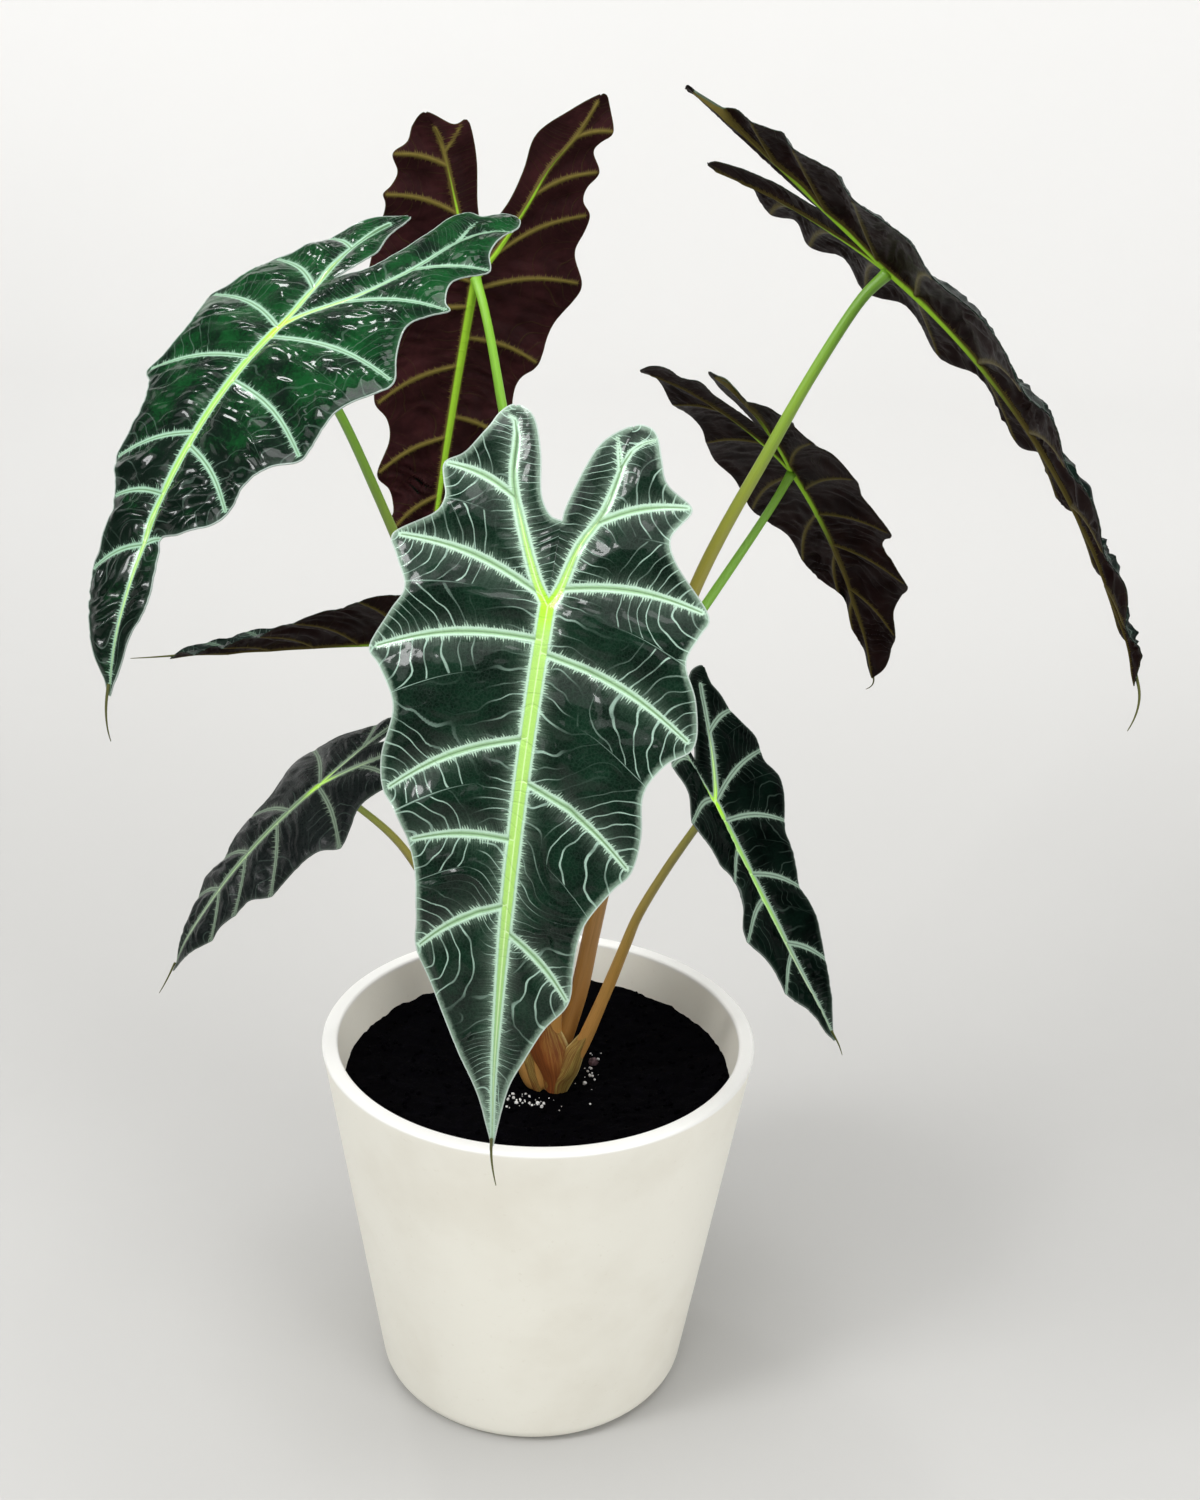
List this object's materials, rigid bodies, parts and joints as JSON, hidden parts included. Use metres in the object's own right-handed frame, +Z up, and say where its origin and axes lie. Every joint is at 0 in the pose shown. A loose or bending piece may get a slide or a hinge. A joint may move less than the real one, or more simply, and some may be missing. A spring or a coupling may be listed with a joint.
{
  "type": "potted polly alocasia plant",
  "caption": "Potted polly alocasia: arrow-shaped, scalloped, pale-veined leaves with maroon undersides on slim stalks, in a round tapered white pot.",
  "frame": {"origin": "middle of the pot's flat underside, where it stands on a table", "axes": "+Z up, along the pot's axis; -Y is the side the picture was taken from; +X is to the viewer's right"},
  "size_m": [0.3995, 0.3226, 0.5613],
  "materials": {
    "pot_white": "smooth matte cream ceramic",
    "soil_black": "damp black potting soil",
    "sheath_brown": "dry brown leaf sheath",
    "stalk_green": "smooth green stalk",
    "blade_green": "glossy dark green leaf with pale veins above, maroon below"
  },
  "bodies": {
    "root": {"pot": "pot_white", "soil": "soil_black", "crown": "sheath_brown", "petiole_front": "stalk_green", "blade_front": "blade_green", "petiole_upper_left": "stalk_green", "blade_upper_left": "blade_green", "petiole_back": "stalk_green", "blade_back": "blade_green", "petiole_upper_right": "stalk_green", "blade_upper_right": "blade_green", "petiole_middle_right": "stalk_green", "blade_middle_right": "blade_green", "petiole_back_left": "stalk_green", "blade_back_left": "blade_green", "petiole_lower_left": "stalk_green", "blade_lower_left": "blade_green", "petiole_lower_right": "stalk_green", "blade_lower_right": "blade_green"}
  },
  "joints": []
}
